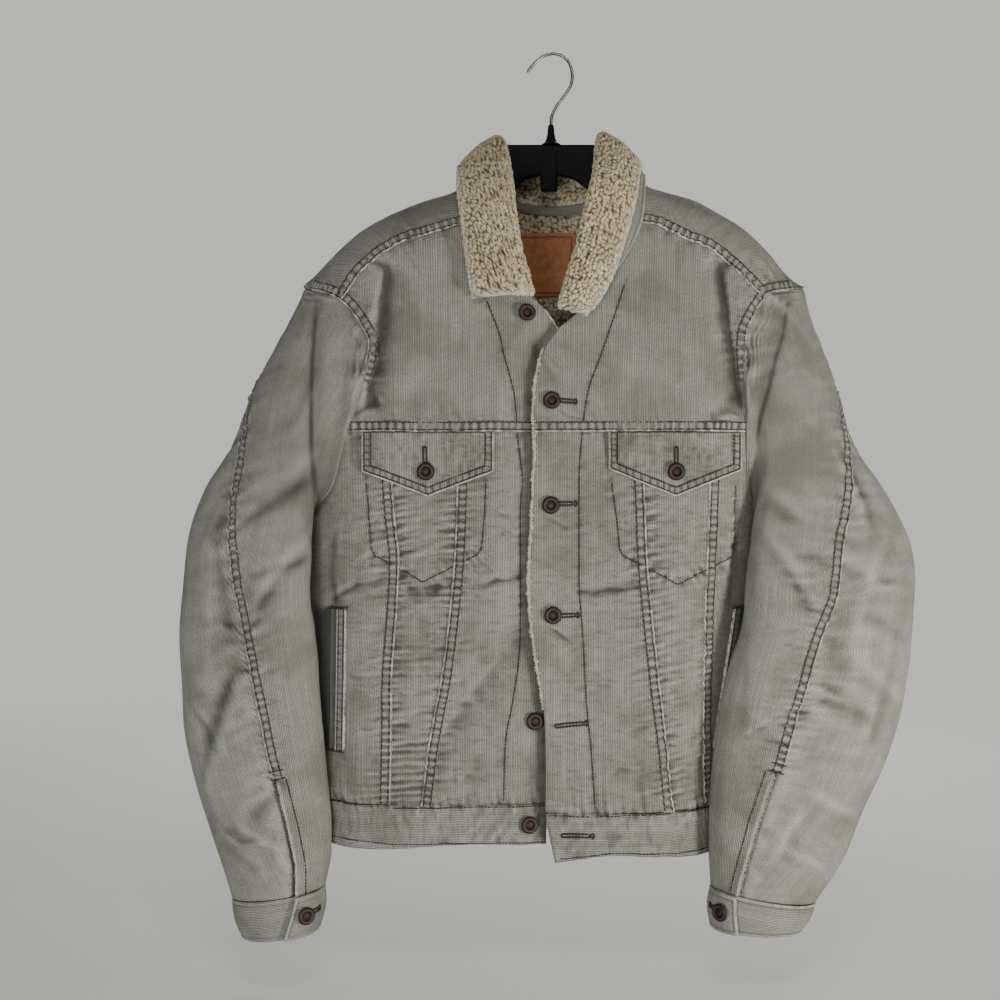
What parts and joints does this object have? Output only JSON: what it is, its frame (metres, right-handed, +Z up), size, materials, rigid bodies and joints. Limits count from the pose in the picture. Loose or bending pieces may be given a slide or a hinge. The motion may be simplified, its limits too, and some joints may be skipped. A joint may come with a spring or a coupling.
{
  "type": "sherpa lined corduroy jacket on a clothes hanger",
  "caption": "Sherpa lined corduroy trucker jacket with a fleece collar, flap pockets and button front, hanging on a moulded hanger.",
  "frame": {"origin": "top of the inside of the hanger's hook, where it bears on a rod or nail", "axes": "+X to the viewer's right, +Y from the jacket's front to its back, +Z up"},
  "size_m": [0.7252, 0.1336, 0.8777],
  "materials": {
    "corduroy": "worn grey-olive needlecord",
    "sherpa": "curly cream pile",
    "label": "plain stitched patch",
    "button": "aged copper brown",
    "plastic": "black moulded",
    "wire": "bright wire"
  },
  "bodies": {
    "root": {"front_yoke_left": "corduroy", "front_yoke_right": "corduroy", "front_side_left": "corduroy", "front_middle_left": "corduroy", "front_center_left": "corduroy", "front_center_right": "corduroy", "front_middle_right": "corduroy", "front_side_right": "corduroy", "back_panel": "corduroy", "back_yoke": "corduroy", "hem_left": "corduroy", "hem_right": "corduroy", "hem_back": "corduroy", "sleeve_left_front": "corduroy", "sleeve_left_back": "corduroy", "sleeve_right_front": "corduroy", "sleeve_right_back": "corduroy", "cuff_left": "corduroy", "cuff_right": "corduroy", "flap_left": "corduroy", "flap_right": "corduroy", "welt_left": "corduroy", "welt_right": "corduroy", "under_collar": "corduroy", "button_front_1": "button", "button_front_2": "button", "button_front_3": "button", "button_front_4": "button", "button_front_5": "button", "button_front_6": "button", "button_flap_left": "button", "button_flap_right": "button", "button_cuff_left": "button", "button_cuff_right": "button", "collar": "sherpa", "neck_lining": "sherpa", "neck_tape": "corduroy", "neck_label": "label", "hanger_body": "plastic", "hanger_neck": "plastic", "hanger_hook": "wire"}
  },
  "joints": []
}
